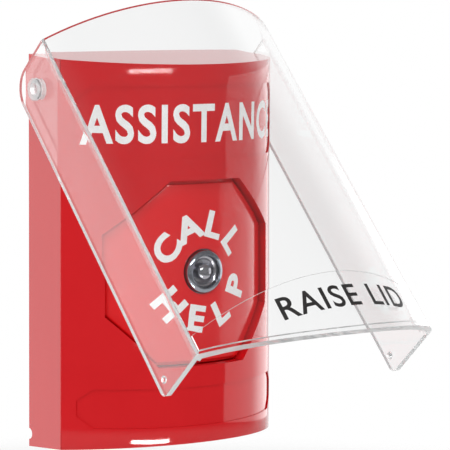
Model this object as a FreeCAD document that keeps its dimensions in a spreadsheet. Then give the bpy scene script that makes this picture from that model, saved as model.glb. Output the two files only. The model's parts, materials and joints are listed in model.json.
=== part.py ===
import FreeCAD, Part
import Sketcher

import math
import os

# Wall-mounted emergency push button with a lift-up clear cover
#
# Millimetres. The wall is the plane y = 0, the front faces -Y and +Z is up. The origin is the
# middle of the back. "Depth" is the distance from the wall towards the front, so y = -depth.
# The cover is drawn hanging straight down from its pivot and then turned open.

SIZES = {
    # Housing: a moulded shell, flat at the sides and strongly bowed in front
    "housing_width": 80.0,
    "housing_height": 122.0,
    "side_depth": 18.0,
    "bow_rise": 21.4,
    "shell_wall": 2.5,
    "end_taper": 0.08,
    "edge_round": 0.9,
    "notch_radius": 1.7,
    "notch_height": 57.0,
    # Eight-sided window in the front, and the collar behind its edge
    "window_drop": 5.65,
    "window_half_width": 30.7,
    "window_half_height": 28.35,
    "window_shoulder": 12.6,
    "window_top_flat": 13.0,
    "window_low_flat": 15.3,
    "collar_wall": 2.0,
    "collar_back": 17.0,
    # Shallow label panels above and below the window
    "panel_half_width": 37.0,
    "panel_chamfer": 3.6,
    "panel_sink": 0.45,
    "upper_panel_top": 51.4,
    "upper_panel_low": 29.3,
    "lower_panel_top": -40.4,
    "lower_panel_low": -52.5,
    # Push button: a bowed cap that follows the housing's front
    "button_gap": 1.2,
    "button_recess": 4.4,
    "button_wall": 2.5,
    "skirt_wall": 2.0,
    "skirt_back": 15.0,
    "button_travel": 4.0,
    # Guide posts of the button, in bores of the carrier
    "post_spread": 21.0,
    "post_radius": 2.6,
    "post_running_gap": 0.1,
    "post_overrun": 0.1,
    "shoulder_radius": 4.6,
    "spring_radius": 3.7,
    "spring_wire": 0.8,
    "spring_turns": 3.5,
    "spring_length": 9.0,
    "spring_free_gap": 0.3,
    "guide_screw_head": 4.0,
    "guide_screw_thick": 0.9,
    "guide_screw_shank": 1.2,
    "guide_screw_length": 7.0,
    "screw_tip_gap": 1.0,
    # Key switch in the middle of the button
    "lock_flange_radius": 7.25,
    "lock_flange_thick": 1.6,
    "lock_proud": 0.8,
    "lock_face_radius": 6.7,
    "lock_face_inner": 5.2,
    "lock_face_sink": 1.5,
    "barrel_radius": 6.3,
    "barrel_length": 18.1,
    "plug_radius": 4.9,
    "plug_running_gap": 0.05,
    "keyway_outer": 4.1,
    "keyway_inner": 2.6,
    "keyway_depth": 4.5,
    "key_post_proud": 0.6,
    "plug_tail": 1.6,
    "key_notch_width": 1.3,
    "nut_flats": 17.0,
    "nut_thick": 3.0,
    "washer_radius": 8.4,
    "washer_thick": 1.0,
    "seat_wall": 1.4,
    "boss_margin": 0.8,
    "fit_gap": 0.1,
    "cam_thick": 1.6,
    "cam_reach": 10.5,
    "cam_width": 8.0,
    "cam_screw_head": 2.6,
    "cam_screw_thick": 1.4,
    "cam_screw_shank": 1.2,
    "cam_screw_bite": 4.0,
    # Pressed steel back plate with its single-gang slots and cable hole
    "plate_thick": 1.6,
    "plate_gap": 0.3,
    "gang_spacing": 83.3,
    "slot_width": 4.4,
    "slot_length": 9.0,
    "cable_hole_half": 14.0,
    "tab_length": 12.0,
    "tab_half_width": 7.0,
    "tab_spread": 20.0,
    "hook_depth": 5.0,
    "hook_thick": 3.0,
    "hook_half_width": 4.0,
    "hook_reach": 3.2,
    "housing_screw_depth": 7.5,
    "housing_screw_head": 3.3,
    "housing_screw_sink": 1.6,
    "housing_screw_recess": 0.3,
    "housing_screw_shank": 1.5,
    "housing_screw_length": 7.5,
    # Carrier that guides the button and holds the contact blocks
    "carrier_depth": 7.0,
    "carrier_thick": 3.0,
    "carrier_half_width": 33.0,
    "carrier_half_height": 28.0,
    "carrier_corner": 5.0,
    "carrier_window": 13.2,
    "standoff_x": 28.5,
    "standoff_z": 22.0,
    "standoff_radius": 3.2,
    "carrier_screw_head": 2.9,
    "carrier_screw_thick": 1.9,
    "carrier_screw_shank": 1.45,
    "carrier_screw_length": 6.5,
    # Contact blocks
    "block_offset": 18.3,
    "block_half_width": 12.0,
    "block_half_height": 4.4,
    "block_thick": 9.0,
    "block_wall": 1.4,
    "plunger_radius": 1.9,
    "plunger_head": 2.9,
    "plunger_head_thick": 1.0,
    "plunger_gap": 0.15,
    "pusher_radius": 3.4,
    "pusher_depth": 25.2,
    "bridge_half_width": 7.0,
    "bridge_half_height": 1.9,
    "bridge_thick": 0.6,
    "terminal_inner": 5.0,
    "terminal_outer": 16.4,
    "terminal_half_height": 2.4,
    "terminal_thick": 1.0,
    "terminal_screw_x": 14.1,
    "terminal_screw_head": 2.0,
    "terminal_screw_thick": 1.6,
    # Clear cover with its stub pins
    "cover_side_gap": 1.7,
    "cover_wall": 2.0,
    "cover_front": 13.5,
    "cover_bow": 20.9,
    "cover_back": 8.1,
    "cover_length": 109.9,
    "cover_top_fall": 0.12,
    "chin_drop": 10.5,
    "tip_round": 2.0,
    "lift_pad_height": 11.0,
    "lift_pad_fall": 4.5,
    "lift_pad_margin": 2.3,
    "lift_pad_rise": 0.6,
    "lift_pad_inset": 0.3,
    "cover_corner_round": 2.6,
    "pivot_depth": 8.6,
    "pivot_height": 50.5,
    "pin_radius": 3.2,
    "pin_running_gap": 0.06,
    "pin_end_gap": 0.7,
    "pin_core_radius": 1.9,
    "pin_core_depth": 3.0,
    "detent_forward": -5.2,
    "detent_rise": 4.7,
    "detent_radius": 1.3,
    "detent_height": 0.8,
    "open_angle": 43.0,
}

document = FreeCAD.newDocument("EmergencyPushButton")
sheet = document.addObject("Spreadsheet::Sheet", "Sizes")
for row, (alias, number) in enumerate(SIZES.items(), start=1):
    sheet.set(f"A{row}", alias)
    sheet.set(f"B{row}", str(number))
    sheet.setAlias(f"B{row}", alias)
document.recompute()


class Size:
    """A length that knows its number and the sheet formula that gives it."""

    def __init__(self, value, formula):
        self.value = value
        self.formula = formula

    def __add__(self, other):
        other = as_size(other)
        return Size(self.value + other.value, f"({self.formula} + {other.formula})")

    def __sub__(self, other):
        other = as_size(other)
        return Size(self.value - other.value, f"({self.formula} - {other.formula})")

    def __mul__(self, other):
        other = as_size(other)
        return Size(self.value * other.value, f"({self.formula} * {other.formula})")

    def __truediv__(self, other):
        other = as_size(other)
        return Size(self.value / other.value, f"({self.formula} / {other.formula})")

    def __neg__(self):
        return Size(-self.value, f"(0 - {self.formula})")

    def __radd__(self, other):
        return as_size(other) + self

    def __rsub__(self, other):
        return as_size(other) - self

    def __rmul__(self, other):
        return as_size(other) * self


def as_size(number):
    return number if isinstance(number, Size) else Size(float(number), repr(float(number)))


def size(alias):
    return Size(float(sheet.get(alias)), f"{sheet.Name}.{alias}")


def root(square):
    return Size(math.sqrt(square.value), f"sqrt({square.formula})")


ZERO = as_size(0)

# Sizes that follow from the driving ones

half_width = size("housing_width") / 2
half_height = size("housing_height") / 2
bow_radius = (half_width * half_width + size("bow_rise") * size("bow_rise")) / (2 * size("bow_rise"))
bow_centre = size("side_depth") + size("bow_rise") - bow_radius
apex_depth = size("side_depth") + size("bow_rise")
window_z = -size("window_drop")
button_front = apex_depth - size("button_recess")
button_inside = button_front - size("button_wall")
lock_front = button_front + size("lock_proud")
lock_seat = lock_front - size("lock_flange_thick")
nut_seat = button_inside - size("seat_wall")
barrel_end = lock_seat - size("barrel_length")
plug_end = barrel_end - size("plug_tail")
carrier_front = size("carrier_depth") + size("carrier_thick")
post_end = size("carrier_depth") - size("post_overrun")
block_front = carrier_front + size("block_thick")
plate_half_height = (half_height - size("shell_wall") - size("end_taper") * size("tab_length")
                     - size("plate_gap"))
cover_half = half_width + size("cover_side_gap") + size("cover_wall")
cover_radius = (cover_half * cover_half + size("cover_bow") * size("cover_bow")) / (2 * size("cover_bow"))
cover_centre = size("cover_front") + size("cover_bow") - cover_radius
chin_radius = (cover_half * cover_half + size("chin_drop") * size("chin_drop")) / (2 * size("chin_drop"))
chin_low = -size("cover_length") - size("chin_drop")
chin_centre = chin_low + chin_radius


# Building blocks

def bind(item, **formulas):
    """Ties properties to the sheet; a double underscore stands for a dot."""
    for name, length in formulas.items():
        item.setExpression(name.replace("__", "."), as_size(length).formula)


def place(item, x=0, y=0, z=0):
    bind(item, Placement__Base__x=x, Placement__Base__y=y, Placement__Base__z=z)


def origin_plane(body, role):
    return next(feature for feature in body.Origin.OriginFeatures if feature.Role == role)


def new_sketch(body, name, role="XZ_Plane", offset=None):
    sketch = body.newObject("Sketcher::SketchObject", name + "_sketch")
    sketch.AttachmentSupport = [(origin_plane(body, role), "")]
    sketch.MapMode = "FlatFace"
    if offset is not None:
        sketch.AttachmentOffset = FreeCAD.Placement(FreeCAD.Vector(0, 0, offset.value), FreeCAD.Rotation())
        bind(sketch, AttachmentOffset__Base__z=offset)
    return sketch


def draw_outline(sketch, corners):
    """Closed outline. A corner is (x, y), or (x, y, centre_x, centre_y, radius) where an
    anticlockwise arc leads from it to the next corner."""
    corners = [tuple(as_size(number) for number in corner) for corner in corners]
    first_edge = sketch.GeometryCount
    for here, there in zip(corners, corners[1:] + corners[:1]):
        if len(here) == 2:
            edge = Part.LineSegment(flat(here), flat(there))
        else:
            centre = FreeCAD.Vector(here[2].value, here[3].value, 0)
            start = angle_about(centre, here)
            end = angle_about(centre, there)
            circle = Part.Circle(centre, FreeCAD.Vector(0, 0, 1), here[4].value)
            edge = Part.ArcOfCircle(circle, start, end if end > start else end + 2 * math.pi)
        sketch.addGeometry(edge)
    for number, here in enumerate(corners):
        edge = first_edge + number
        before = first_edge + (number - 1) % len(corners)
        sketch.addConstraint(Sketcher.Constraint("Coincident", before, 2, edge, 1))
        for kind, length in (("DistanceX", here[0]), ("DistanceY", here[1])):
            index = sketch.addConstraint(Sketcher.Constraint(kind, -1, 1, edge, 1, length.value))
            sketch.setExpression(f"Constraints[{index}]", length.formula)
        if len(here) == 5:
            index = sketch.addConstraint(Sketcher.Constraint("DistanceY", -1, 1, edge, 3, here[3].value))
            sketch.setExpression(f"Constraints[{index}]", here[3].formula)


def flat(corner):
    return FreeCAD.Vector(corner[0].value, corner[1].value, 0)


def angle_about(centre, corner):
    return math.atan2(corner[1].value - centre.y, corner[0].value - centre.x) % (2 * math.pi)


def prism(name, corners, start, end, role="XZ_Plane"):
    """Solid of an outline, from one offset along the plane's normal to another."""
    body = document.addObject("PartDesign::Body", name)
    sketch = new_sketch(body, name, role, as_size(start))
    draw_outline(sketch, corners)
    pad = body.newObject("PartDesign::Pad", name + "_pad")
    pad.Profile = sketch
    bind(pad, Length=as_size(end) - start)
    return body


def box(name, x0, x1, depth0, depth1, z0, z1):
    """Block between two depths."""
    block = document.addObject("Part::Box", name)
    bind(block, Length=as_size(x1) - x0, Width=as_size(depth1) - depth0, Height=as_size(z1) - z0)
    place(block, x0, -as_size(depth1), z0)
    return block


def rod(name, x, z, radius, depth0, depth1):
    """Round rod square to the wall, between two depths."""
    cylinder = document.addObject("Part::Cylinder", name)
    cylinder.Placement = FreeCAD.Placement(FreeCAD.Vector(), FreeCAD.Rotation(FreeCAD.Vector(1, 0, 0), 90))
    bind(cylinder, Radius=radius, Height=as_size(depth1) - depth0)
    place(cylinder, x, -as_size(depth0), z)
    return cylinder


def cross_rod(name, depth, z, radius, x0, x1):
    """Round rod along X, between two places."""
    cylinder = document.addObject("Part::Cylinder", name)
    cylinder.Placement = FreeCAD.Placement(FreeCAD.Vector(), FreeCAD.Rotation(FreeCAD.Vector(0, 1, 0), 90))
    bind(cylinder, Radius=radius, Height=as_size(x1) - x0)
    place(cylinder, x0, -as_size(depth), z)
    return cylinder


def post_rod(name, x, depth, radius, z0, z1):
    """Upright round rod, between two heights."""
    cylinder = document.addObject("Part::Cylinder", name)
    bind(cylinder, Radius=radius, Height=as_size(z1) - z0)
    place(cylinder, x, -as_size(depth), z0)
    return cylinder


def join(name, *pieces):
    whole = document.addObject("Part::MultiFuse", name)
    whole.Shapes = list(pieces)
    return whole


def common(name, *pieces):
    whole = document.addObject("Part::MultiCommon", name)
    whole.Shapes = list(pieces)
    return whole


def cut(name, base, *tools):
    whole = document.addObject("Part::Cut", name)
    whole.Base = base
    whole.Tool = tools[0] if len(tools) == 1 else join(name + "_tools", *tools)
    return whole


def group(name, *pieces):
    """Separate solids that share one node."""
    whole = document.addObject("Part::Compound", name)
    whole.Links = list(pieces)
    return whole


def rounded(body, name, radius, chosen):
    """Rounds the edges of a body that the test picks."""
    document.recompute()
    base = body.Tip
    names = [f"Edge{n}" for n, edge in enumerate(base.Shape.Edges, start=1) if chosen(edge)]
    fillet = body.newObject("PartDesign::Fillet", name)
    fillet.Base = (base, names)
    bind(fillet, Radius=radius)
    body.Tip = fillet
    return fillet


# Housing

def bowed_plan(inset, back):
    """Plan of the bowed form, drawn in x and y, moved inwards by the inset."""
    side = half_width - inset
    radius = bow_radius - inset
    shoulder = bow_centre + root(radius * radius - side * side)
    return [
        (-side, -as_size(back)),
        (-side, -shoulder, ZERO, -bow_centre, radius),
        (side, -shoulder),
        (side, -as_size(back)),
    ]


def bowed_block(name, inset, back):
    """The housing's outer form, or the same form moved inwards."""
    side_view = [
        (ZERO, -half_height + inset),
        (ZERO, half_height - inset),
        (-apex_depth, half_height - inset - size("end_taper") * apex_depth),
        (-apex_depth, -half_height + inset + size("end_taper") * apex_depth),
    ]
    plan = prism(name + "_plan", bowed_plan(inset, back), -half_height, half_height, "XY_Plane")
    side = prism(name + "_side", side_view, -half_width, half_width, "YZ_Plane")
    return plan, side


def octagon(inset):
    """Outline of the window, moved inwards by the inset on every side."""
    corners = []
    wide = size("window_half_width")
    tall = size("window_half_height")
    shoulder = size("window_shoulder")
    for flat_half, up in ((size("window_top_flat"), 1), (size("window_low_flat"), -1)):
        run = wide - flat_half
        rise = tall - shoulder
        slant = root(run * run + rise * rise)
        across = rise / slant
        along = run / slant
        flat_in = flat_half - inset * (1 - along) / across
        shoulder_in = shoulder - inset * (1 - across) / along
        corners.append((flat_in, window_z + up * (tall - inset), up))
        corners.append((wide - inset, window_z + up * shoulder_in, up))
    (tx, tz, _), (sx, sz, _), (bx, bz, _), (lx, lz, _) = corners
    return [(-tx, tz), (-sx, sz), (-lx, lz), (-bx, bz), (bx, bz), (lx, lz), (sx, sz), (tx, tz)]


def label_panel(name, top, low):
    """Long eight-sided outline of a label panel."""
    wide = size("panel_half_width")
    chamfer = size("panel_chamfer")
    outline = [
        (-wide, top - chamfer), (-wide, low + chamfer), (chamfer - wide, low), (wide - chamfer, low),
        (wide, low + chamfer), (wide, top - chamfer), (wide - chamfer, top), (chamfer - wide, top),
    ]
    return prism(name, outline, ZERO, apex_depth + 1)


outer_plan, outer_side = bowed_block("shell_outer", ZERO, ZERO)
rounded(outer_plan, "shell_front_corners", size("edge_round"), lambda edge: (
    edge.Curve.TypeId == "Part::GeomLine" and abs(edge.CenterOfMass.y + SIZES["side_depth"]) < 0.01
    and edge.Length > SIZES["housing_height"] / 2))
inner_plan, inner_side = bowed_block("shell_inner", size("shell_wall"), -1)
collar_block = prism("collar_block", octagon(-size("collar_wall")), size("collar_back"), apex_depth + 1)
hook_top = half_height - size("shell_wall")
hook = box("hook", -size("hook_half_width"), size("hook_half_width"), size("hook_depth"),
           size("hook_depth") + size("hook_thick"), hook_top - size("hook_reach"), hook_top + 1)
cavity = cut("cavity", common("cavity_form", inner_plan, inner_side), collar_block, hook)

window = prism("window", octagon(ZERO), ZERO, apex_depth + 1)
panel_floor = prism("panel_floor", bowed_plan(size("panel_sink"), -1), -half_height, half_height, "XY_Plane")
panels = cut("panels", join(
    "panel_outlines",
    label_panel("upper_panel", size("upper_panel_top"), size("upper_panel_low")),
    label_panel("lower_panel", size("lower_panel_top"), size("lower_panel_low"))), panel_floor)
notches = cross_rod("notches", ZERO, -size("notch_height"), size("notch_radius"), -half_width - 1, half_width + 1)
pivot_bores = cross_rod("pivot_bores", size("pivot_depth"), size("pivot_height"),
                        size("pin_radius") + size("pin_running_gap"), -half_width - 1, half_width + 1)


def screw_places():
    return (-size("tab_spread"), size("tab_spread"))


screw_seats = []
for number, x in enumerate(screw_places(), start=1):
    head_face = -half_height + size("end_taper") * size("housing_screw_depth")
    hole = post_rod(f"screw_hole_{number}", x, size("housing_screw_depth"),
                    size("housing_screw_shank") + size("fit_gap"), -half_height - 1,
                    head_face + size("shell_wall") + 1)
    seat = post_rod(f"screw_seat_{number}", x, size("housing_screw_depth"),
                    size("housing_screw_head") + size("fit_gap"), -half_height - 1,
                    head_face + size("housing_screw_sink"))
    screw_seats += [hole, seat]

housing_form = common("housing_form", outer_plan, outer_side)
housing = cut("housing", housing_form, cavity, window, panels, notches, pivot_bores, *screw_seats)

# Push button, with its seat for the key switch, guide posts and pusher bosses


def button_block(name, inset, recess, back):
    """Eight-sided block whose front follows the housing's bow, lower by the recess."""
    outline = prism(name + "_outline", octagon(inset), back, apex_depth)
    depth_form = prism(name + "_bow", bowed_plan(recess, -1), -half_height, half_height, "XY_Plane")
    return common(name, outline, depth_form)


button_cap = button_block("button_cap", size("button_gap"), size("button_recess"), size("skirt_back"))
button_hollow = button_block("button_hollow", size("button_gap") + size("skirt_wall"),
                             size("button_recess") + size("button_wall"), size("skirt_back") - 1)
posts = []
for side, x in (("left", -size("post_spread")), ("right", size("post_spread"))):
    posts.append(rod(f"post_{side}", x, window_z, size("post_radius"), post_end, button_inside))
    posts.append(rod(f"post_shoulder_{side}", x, window_z, size("shoulder_radius"),
                     carrier_front + size("spring_length") + size("button_travel")
                     + size("spring_free_gap"), button_inside))
for end, offset in (("upper", size("block_offset")), ("lower", -size("block_offset"))):
    posts.append(rod(f"pusher_{end}", ZERO, window_z + offset, size("pusher_radius"),
                     size("pusher_depth"), button_inside))
lock_boss = rod("lock_boss", ZERO, window_z, size("washer_radius") + size("boss_margin"), nut_seat, button_inside)
inner_posts = common("inner_posts", join("inner_post_rods", *posts, lock_boss),
                     prism("post_limit", bowed_plan(size("button_recess") + size("button_wall") / 2, -1),
                           -half_height, half_height, "XY_Plane"))
lock_counterbore = rod("lock_counterbore", ZERO, window_z, size("lock_flange_radius") + size("fit_gap"),
                       lock_seat, apex_depth)
lock_bore = rod("lock_bore", ZERO, window_z, size("barrel_radius") + size("fit_gap"), ZERO, apex_depth)
guide_holes = [
    rod(f"guide_screw_hole_{side}", x, window_z, size("guide_screw_shank") + size("fit_gap") / 2,
        ZERO, post_end + size("guide_screw_length"))
    for side, x in (("left", -size("post_spread")), ("right", size("post_spread")))
]
push_button = cut("push_button", join("button_solid", cut("button_shell", button_cap, button_hollow),
                                      inner_posts), lock_counterbore, lock_bore, *guide_holes)

# Key switch: barrel, plug with its round keyway, nut, washer, cam

barrel_blank = join(
    "barrel_blank",
    rod("lock_flange", ZERO, window_z, size("lock_flange_radius"), lock_seat, lock_front),
    rod("barrel_stem", ZERO, window_z, size("barrel_radius"), barrel_end, lock_seat))
plug_front = lock_front - size("lock_face_sink")
dished_face = document.addObject("Part::Cone", "dished_face")
dished_face.Placement = FreeCAD.Placement(FreeCAD.Vector(), FreeCAD.Rotation(FreeCAD.Vector(1, 0, 0), 90))
bind(dished_face, Radius1=size("lock_face_inner"), Radius2=size("lock_face_radius"), Height=size("lock_face_sink"))
place(dished_face, ZERO, -plug_front, window_z)
lock_barrel = cut(
    "lock_barrel", barrel_blank,
    rod("barrel_bore", ZERO, window_z, size("plug_radius") + size("plug_running_gap"), ZERO, apex_depth),
    dished_face)
keyway = cut(
    "keyway",
    rod("keyway_ring", ZERO, window_z, size("keyway_outer"), plug_front - size("keyway_depth"), apex_depth),
    rod("keyway_core", ZERO, window_z, size("keyway_inner"), ZERO, apex_depth))
key_notch = box("key_notch", -size("key_notch_width") / 2, size("key_notch_width") / 2,
                plug_front - size("keyway_depth"), apex_depth, window_z,
                window_z + size("plug_radius") - size("fit_gap"))
cam_hole = rod("plug_screw_hole", ZERO, window_z, size("cam_screw_shank") + size("fit_gap") / 2,
               ZERO, plug_end + size("cam_screw_bite") + size("screw_tip_gap"))
plug_body = cut("plug_body", rod("plug_rod", ZERO, window_z, size("plug_radius"), plug_end, plug_front),
                keyway, key_notch, cam_hole)
lock_plug = join("lock_plug", plug_body, rod("key_post", ZERO, window_z, size("keyway_inner"),
                                             plug_front - size("keyway_depth") - 1,
                                             plug_front + size("key_post_proud")))


def hexagon(flats, z):
    """Hexagon about the lock's axis, with its flats to the sides."""
    half = flats / 2
    corner = flats / root(as_size(3))
    return [(half, z + corner / 2), (ZERO, z + corner), (-half, z + corner / 2),
            (-half, z - corner / 2), (ZERO, z - corner), (half, z - corner / 2)]


nut_front = nut_seat - size("washer_thick")
lock_hole = rod("lock_hole", ZERO, window_z, size("barrel_radius"), ZERO, apex_depth)
lock_nut = cut("lock_nut", prism("nut_blank", hexagon(size("nut_flats"), window_z),
                                 nut_front - size("nut_thick"), nut_front), lock_hole)
lock_washer = cut("lock_washer", rod("washer_blank", ZERO, window_z, size("washer_radius"),
                                     nut_front, nut_seat), lock_hole)
cam_blank = join(
    "cam_blank",
    rod("cam_hub", ZERO, window_z, size("cam_width") / 2, plug_end - size("cam_thick"), plug_end),
    box("cam_arm", -size("cam_width") / 2, size("cam_width") / 2, plug_end - size("cam_thick"), plug_end,
        window_z, window_z + size("cam_reach")))
lock_cam = cut("lock_cam", cam_blank, rod("cam_screw_hole", ZERO, window_z,
                                          size("cam_screw_shank") + size("fit_gap") / 2, ZERO, apex_depth))


def pan_screw(name, x, z, head, thick, shank, length, seat, forward=True):
    """Screw square to the wall. Its head lies in front of the seat, or behind it."""
    if forward:
        return join(name, rod(name + "_head", x, z, head, seat, seat + thick),
                    rod(name + "_shank", x, z, shank, seat - length, seat))
    return join(name, rod(name + "_head", x, z, head, seat - thick, seat),
                rod(name + "_shank", x, z, shank, seat, seat + length))


cam_screw = pan_screw("cam_screw", ZERO, window_z, size("cam_screw_head"), size("cam_screw_thick"),
                      size("cam_screw_shank"), size("cam_thick") + size("cam_screw_bite"),
                      plug_end - size("cam_thick"), False)
guide_screws = group("guide_screws", *[
    pan_screw(f"guide_screw_{side}", x, window_z, size("guide_screw_head"), size("guide_screw_thick"),
              size("guide_screw_shank"), size("guide_screw_length") - size("screw_tip_gap"), post_end, False)
    for side, x in (("left", -size("post_spread")), ("right", size("post_spread")))
])

# Back plate, with slots for a single-gang box, a cable hole and folded tabs

plate_half = half_width - size("shell_wall") - size("plate_gap")
plate_blank = box("plate_blank", -plate_half, plate_half, ZERO, size("plate_thick"),
                  -plate_half_height, plate_half_height)
top_tab = cut(
    "top_tab",
    box("top_tab_blank", -size("tab_half_width"), size("tab_half_width"), ZERO, size("tab_length"),
        plate_half_height - size("plate_thick"), plate_half_height),
    box("top_tab_catch", -size("hook_half_width") - size("plate_gap"), size("hook_half_width") + size("plate_gap"),
        size("hook_depth") - size("plate_gap"), size("hook_depth") + size("hook_thick") + size("plate_gap"),
        ZERO, half_height))
plate_tabs = [top_tab]
for number, x in enumerate(screw_places(), start=1):
    plate_tabs.append(box(f"low_tab_{number}", x - size("tab_half_width"), x + size("tab_half_width"),
                          ZERO, size("tab_length"), -plate_half_height,
                          size("plate_thick") - plate_half_height))


def gang_slot(name, z):
    """Upright slot with round ends."""
    radius = size("slot_width") / 2
    straight = size("slot_length") / 2 - radius
    outline = [
        (radius, z + straight, ZERO, z + straight, radius), (-radius, z + straight),
        (-radius, z - straight, ZERO, z - straight, radius), (radius, z - straight),
    ]
    return prism(name, outline, -1, size("plate_thick") + 1)


hole_half = size("cable_hole_half")
plate_cuts = [
    gang_slot("upper_slot", size("gang_spacing") / 2),
    gang_slot("lower_slot", -size("gang_spacing") / 2),
    box("cable_hole", -hole_half, hole_half, -1, size("plate_thick") + 1, window_z - hole_half, window_z + hole_half),
]
for number, x in enumerate(screw_places(), start=1):
    plate_cuts.append(post_rod(f"tab_hole_{number}", x, size("housing_screw_depth"),
                               size("housing_screw_shank") + size("fit_gap") / 2,
                               -half_height, size("plate_thick") - plate_half_height + 1))
back_plate = cut("back_plate", join("plate_with_tabs", plate_blank, *plate_tabs), *plate_cuts)

housing_screw_list = []
for number, x in enumerate(screw_places(), start=1):
    seat = -half_height + size("end_taper") * size("housing_screw_depth") + size("housing_screw_sink")
    housing_screw_list.append(join(
        f"housing_screw_{number}",
        post_rod(f"housing_screw_head_{number}", x, size("housing_screw_depth"), size("housing_screw_head"),
                 seat - size("housing_screw_sink") + size("housing_screw_recess"), seat),
        post_rod(f"housing_screw_shank_{number}", x, size("housing_screw_depth"), size("housing_screw_shank"),
                 seat, seat + size("housing_screw_length") - size("housing_screw_sink"))))
housing_screws = group("housing_screws", *housing_screw_list)

# Carrier on four standoffs

corner_places = [(f"{updown}_{side}", sx * size("standoff_x"), window_z + sz * size("standoff_z"))
                 for updown, sz in (("upper", 1), ("lower", -1)) for side, sx in (("left", -1), ("right", 1))]
wide = size("carrier_half_width")
tall = size("carrier_half_height")
corner = size("carrier_corner")
carrier_outline = [
    (wide - corner, window_z + tall), (corner - wide, window_z + tall), (-wide, window_z + tall - corner),
    (-wide, window_z + corner - tall), (corner - wide, window_z - tall), (wide - corner, window_z - tall),
    (wide, window_z + corner - tall), (wide, window_z + tall - corner),
]
carrier_holes = [rod("carrier_window", ZERO, window_z, size("carrier_window"), ZERO, apex_depth)]
carrier_holes += [
    rod(f"guide_bore_{side}", x, window_z, size("post_radius") + size("post_running_gap"), ZERO, apex_depth)
    for side, x in (("left", -size("post_spread")), ("right", size("post_spread")))
]
carrier_holes += [
    rod(f"carrier_hole_{name}", x, z, size("carrier_screw_shank") + size("fit_gap"), ZERO, apex_depth)
    for name, x, z in corner_places
]
carrier = cut("carrier", prism("carrier_blank", carrier_outline, size("carrier_depth"), carrier_front),
              *carrier_holes)
standoffs = group("standoffs", *[
    cut(f"standoff_{name}",
        rod(f"standoff_blank_{name}", x, z, size("standoff_radius"), size("plate_thick"), size("carrier_depth")),
        rod(f"standoff_bore_{name}", x, z, size("carrier_screw_shank") + size("fit_gap") / 2,
            ZERO, apex_depth))
    for name, x, z in corner_places
])
carrier_screws = group("carrier_screws", *[
    pan_screw(f"carrier_screw_{name}", x, z, size("carrier_screw_head"), size("carrier_screw_thick"),
              size("carrier_screw_shank"), size("carrier_screw_length"), carrier_front)
    for name, x, z in corner_places
])

# Contact blocks with their terminals, and the plungers that the button drives

contact_pieces = {}
for end, offset in (("upper", size("block_offset")), ("lower", -size("block_offset"))):
    z = window_z + offset
    block_wide = size("block_half_width")
    block_tall = size("block_half_height")
    wall = size("block_wall")
    contact_pieces[f"contact_block_{end}"] = cut(
        f"contact_block_{end}",
        box(f"block_blank_{end}", -block_wide, block_wide, carrier_front, block_front,
            z - block_tall, z + block_tall),
        box(f"block_hollow_{end}", wall - block_wide, block_wide - wall, carrier_front - 1, block_front - wall,
            z - block_tall + wall, z + block_tall - wall),
        box(f"terminal_slot_{end}", -block_wide - 1, block_wide + 1, carrier_front - 1,
            carrier_front + size("terminal_thick") + size("fit_gap"),
            z - size("terminal_half_height") - size("fit_gap"), z + size("terminal_half_height") + size("fit_gap")),
        rod(f"plunger_bore_{end}", ZERO, z, size("plunger_radius") + size("post_running_gap"), ZERO, apex_depth))
    bridge_front = block_front - wall - size("bridge_thick")
    head_front = size("pusher_depth") - size("plunger_gap")
    contact_pieces[f"contact_plunger_{end}"] = join(
        f"contact_plunger_{end}",
        rod(f"plunger_stem_{end}", ZERO, z, size("plunger_radius"), bridge_front, head_front),
        rod(f"plunger_cap_{end}", ZERO, z, size("plunger_head"), head_front - size("plunger_head_thick"), head_front))
    contact_pieces[f"contact_bridge_{end}"] = box(
        f"contact_bridge_{end}", -size("bridge_half_width"), size("bridge_half_width"),
        bridge_front - size("bridge_thick"), bridge_front, z - size("bridge_half_height"),
        z + size("bridge_half_height"))

terminal_list = []
terminal_screw_list = []
for end, offset in (("upper", size("block_offset")), ("lower", -size("block_offset"))):
    for side, sx in (("left", -1), ("right", 1)):
        z = window_z + offset
        inner, outer = sx * size("terminal_inner"), sx * size("terminal_outer")
        low_x, high_x = (inner, outer) if sx > 0 else (outer, inner)
        screw_x = sx * size("terminal_screw_x")
        screw_seat = carrier_front + size("terminal_thick")
        terminal_list.append(box(f"terminal_{end}_{side}", low_x, high_x, carrier_front, screw_seat,
                                 z - size("terminal_half_height"), z + size("terminal_half_height")))
        terminal_screw_list.append(rod(f"terminal_screw_{end}_{side}", screw_x, z, size("terminal_screw_head"),
                                       screw_seat, screw_seat + size("terminal_screw_thick")))
terminals = group("terminals", *terminal_list)
terminal_screws = group("terminal_screws", *terminal_screw_list)

# Return springs on the guide posts, wound from flat wire


def return_spring(name, x):
    turns = size("spring_turns")
    height = size("spring_length") - size("spring_wire")
    path = document.addObject("Part::Helix", name + "_path")
    bind(path, Radius=size("spring_radius"), Height=height, Pitch=height / turns)
    body_wire = size("spring_wire") / 2
    section = document.addObject("Part::Plane", name + "_section")
    section.Placement = FreeCAD.Placement(FreeCAD.Vector(), FreeCAD.Rotation(FreeCAD.Vector(1, 0, 0), 90))
    bind(section, Length=size("spring_wire"), Width=size("spring_wire"))
    place(section, size("spring_radius") - body_wire, ZERO, -body_wire)
    spring = document.addObject("Part::Sweep", name)
    spring.Sections = [section]
    document.recompute()
    spring.Spine = (path, [f"Edge{n}" for n in range(1, len(path.Shape.Edges) + 1)])
    spring.Solid = True
    spring.Frenet = True
    spring.Placement = FreeCAD.Placement(FreeCAD.Vector(), FreeCAD.Rotation(FreeCAD.Vector(1, 0, 0), 90))
    place(spring, x, -carrier_front - body_wire - size("fit_gap") / 2, window_z)
    return spring


springs = {
    "return_spring_left": return_spring("return_spring_left", -size("post_spread")),
    "return_spring_right": return_spring("return_spring_right", size("post_spread")),
}

# Clear cover: bowed front with a chin below its sides, a lift pad inside it, and stub pins at the ears


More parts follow.
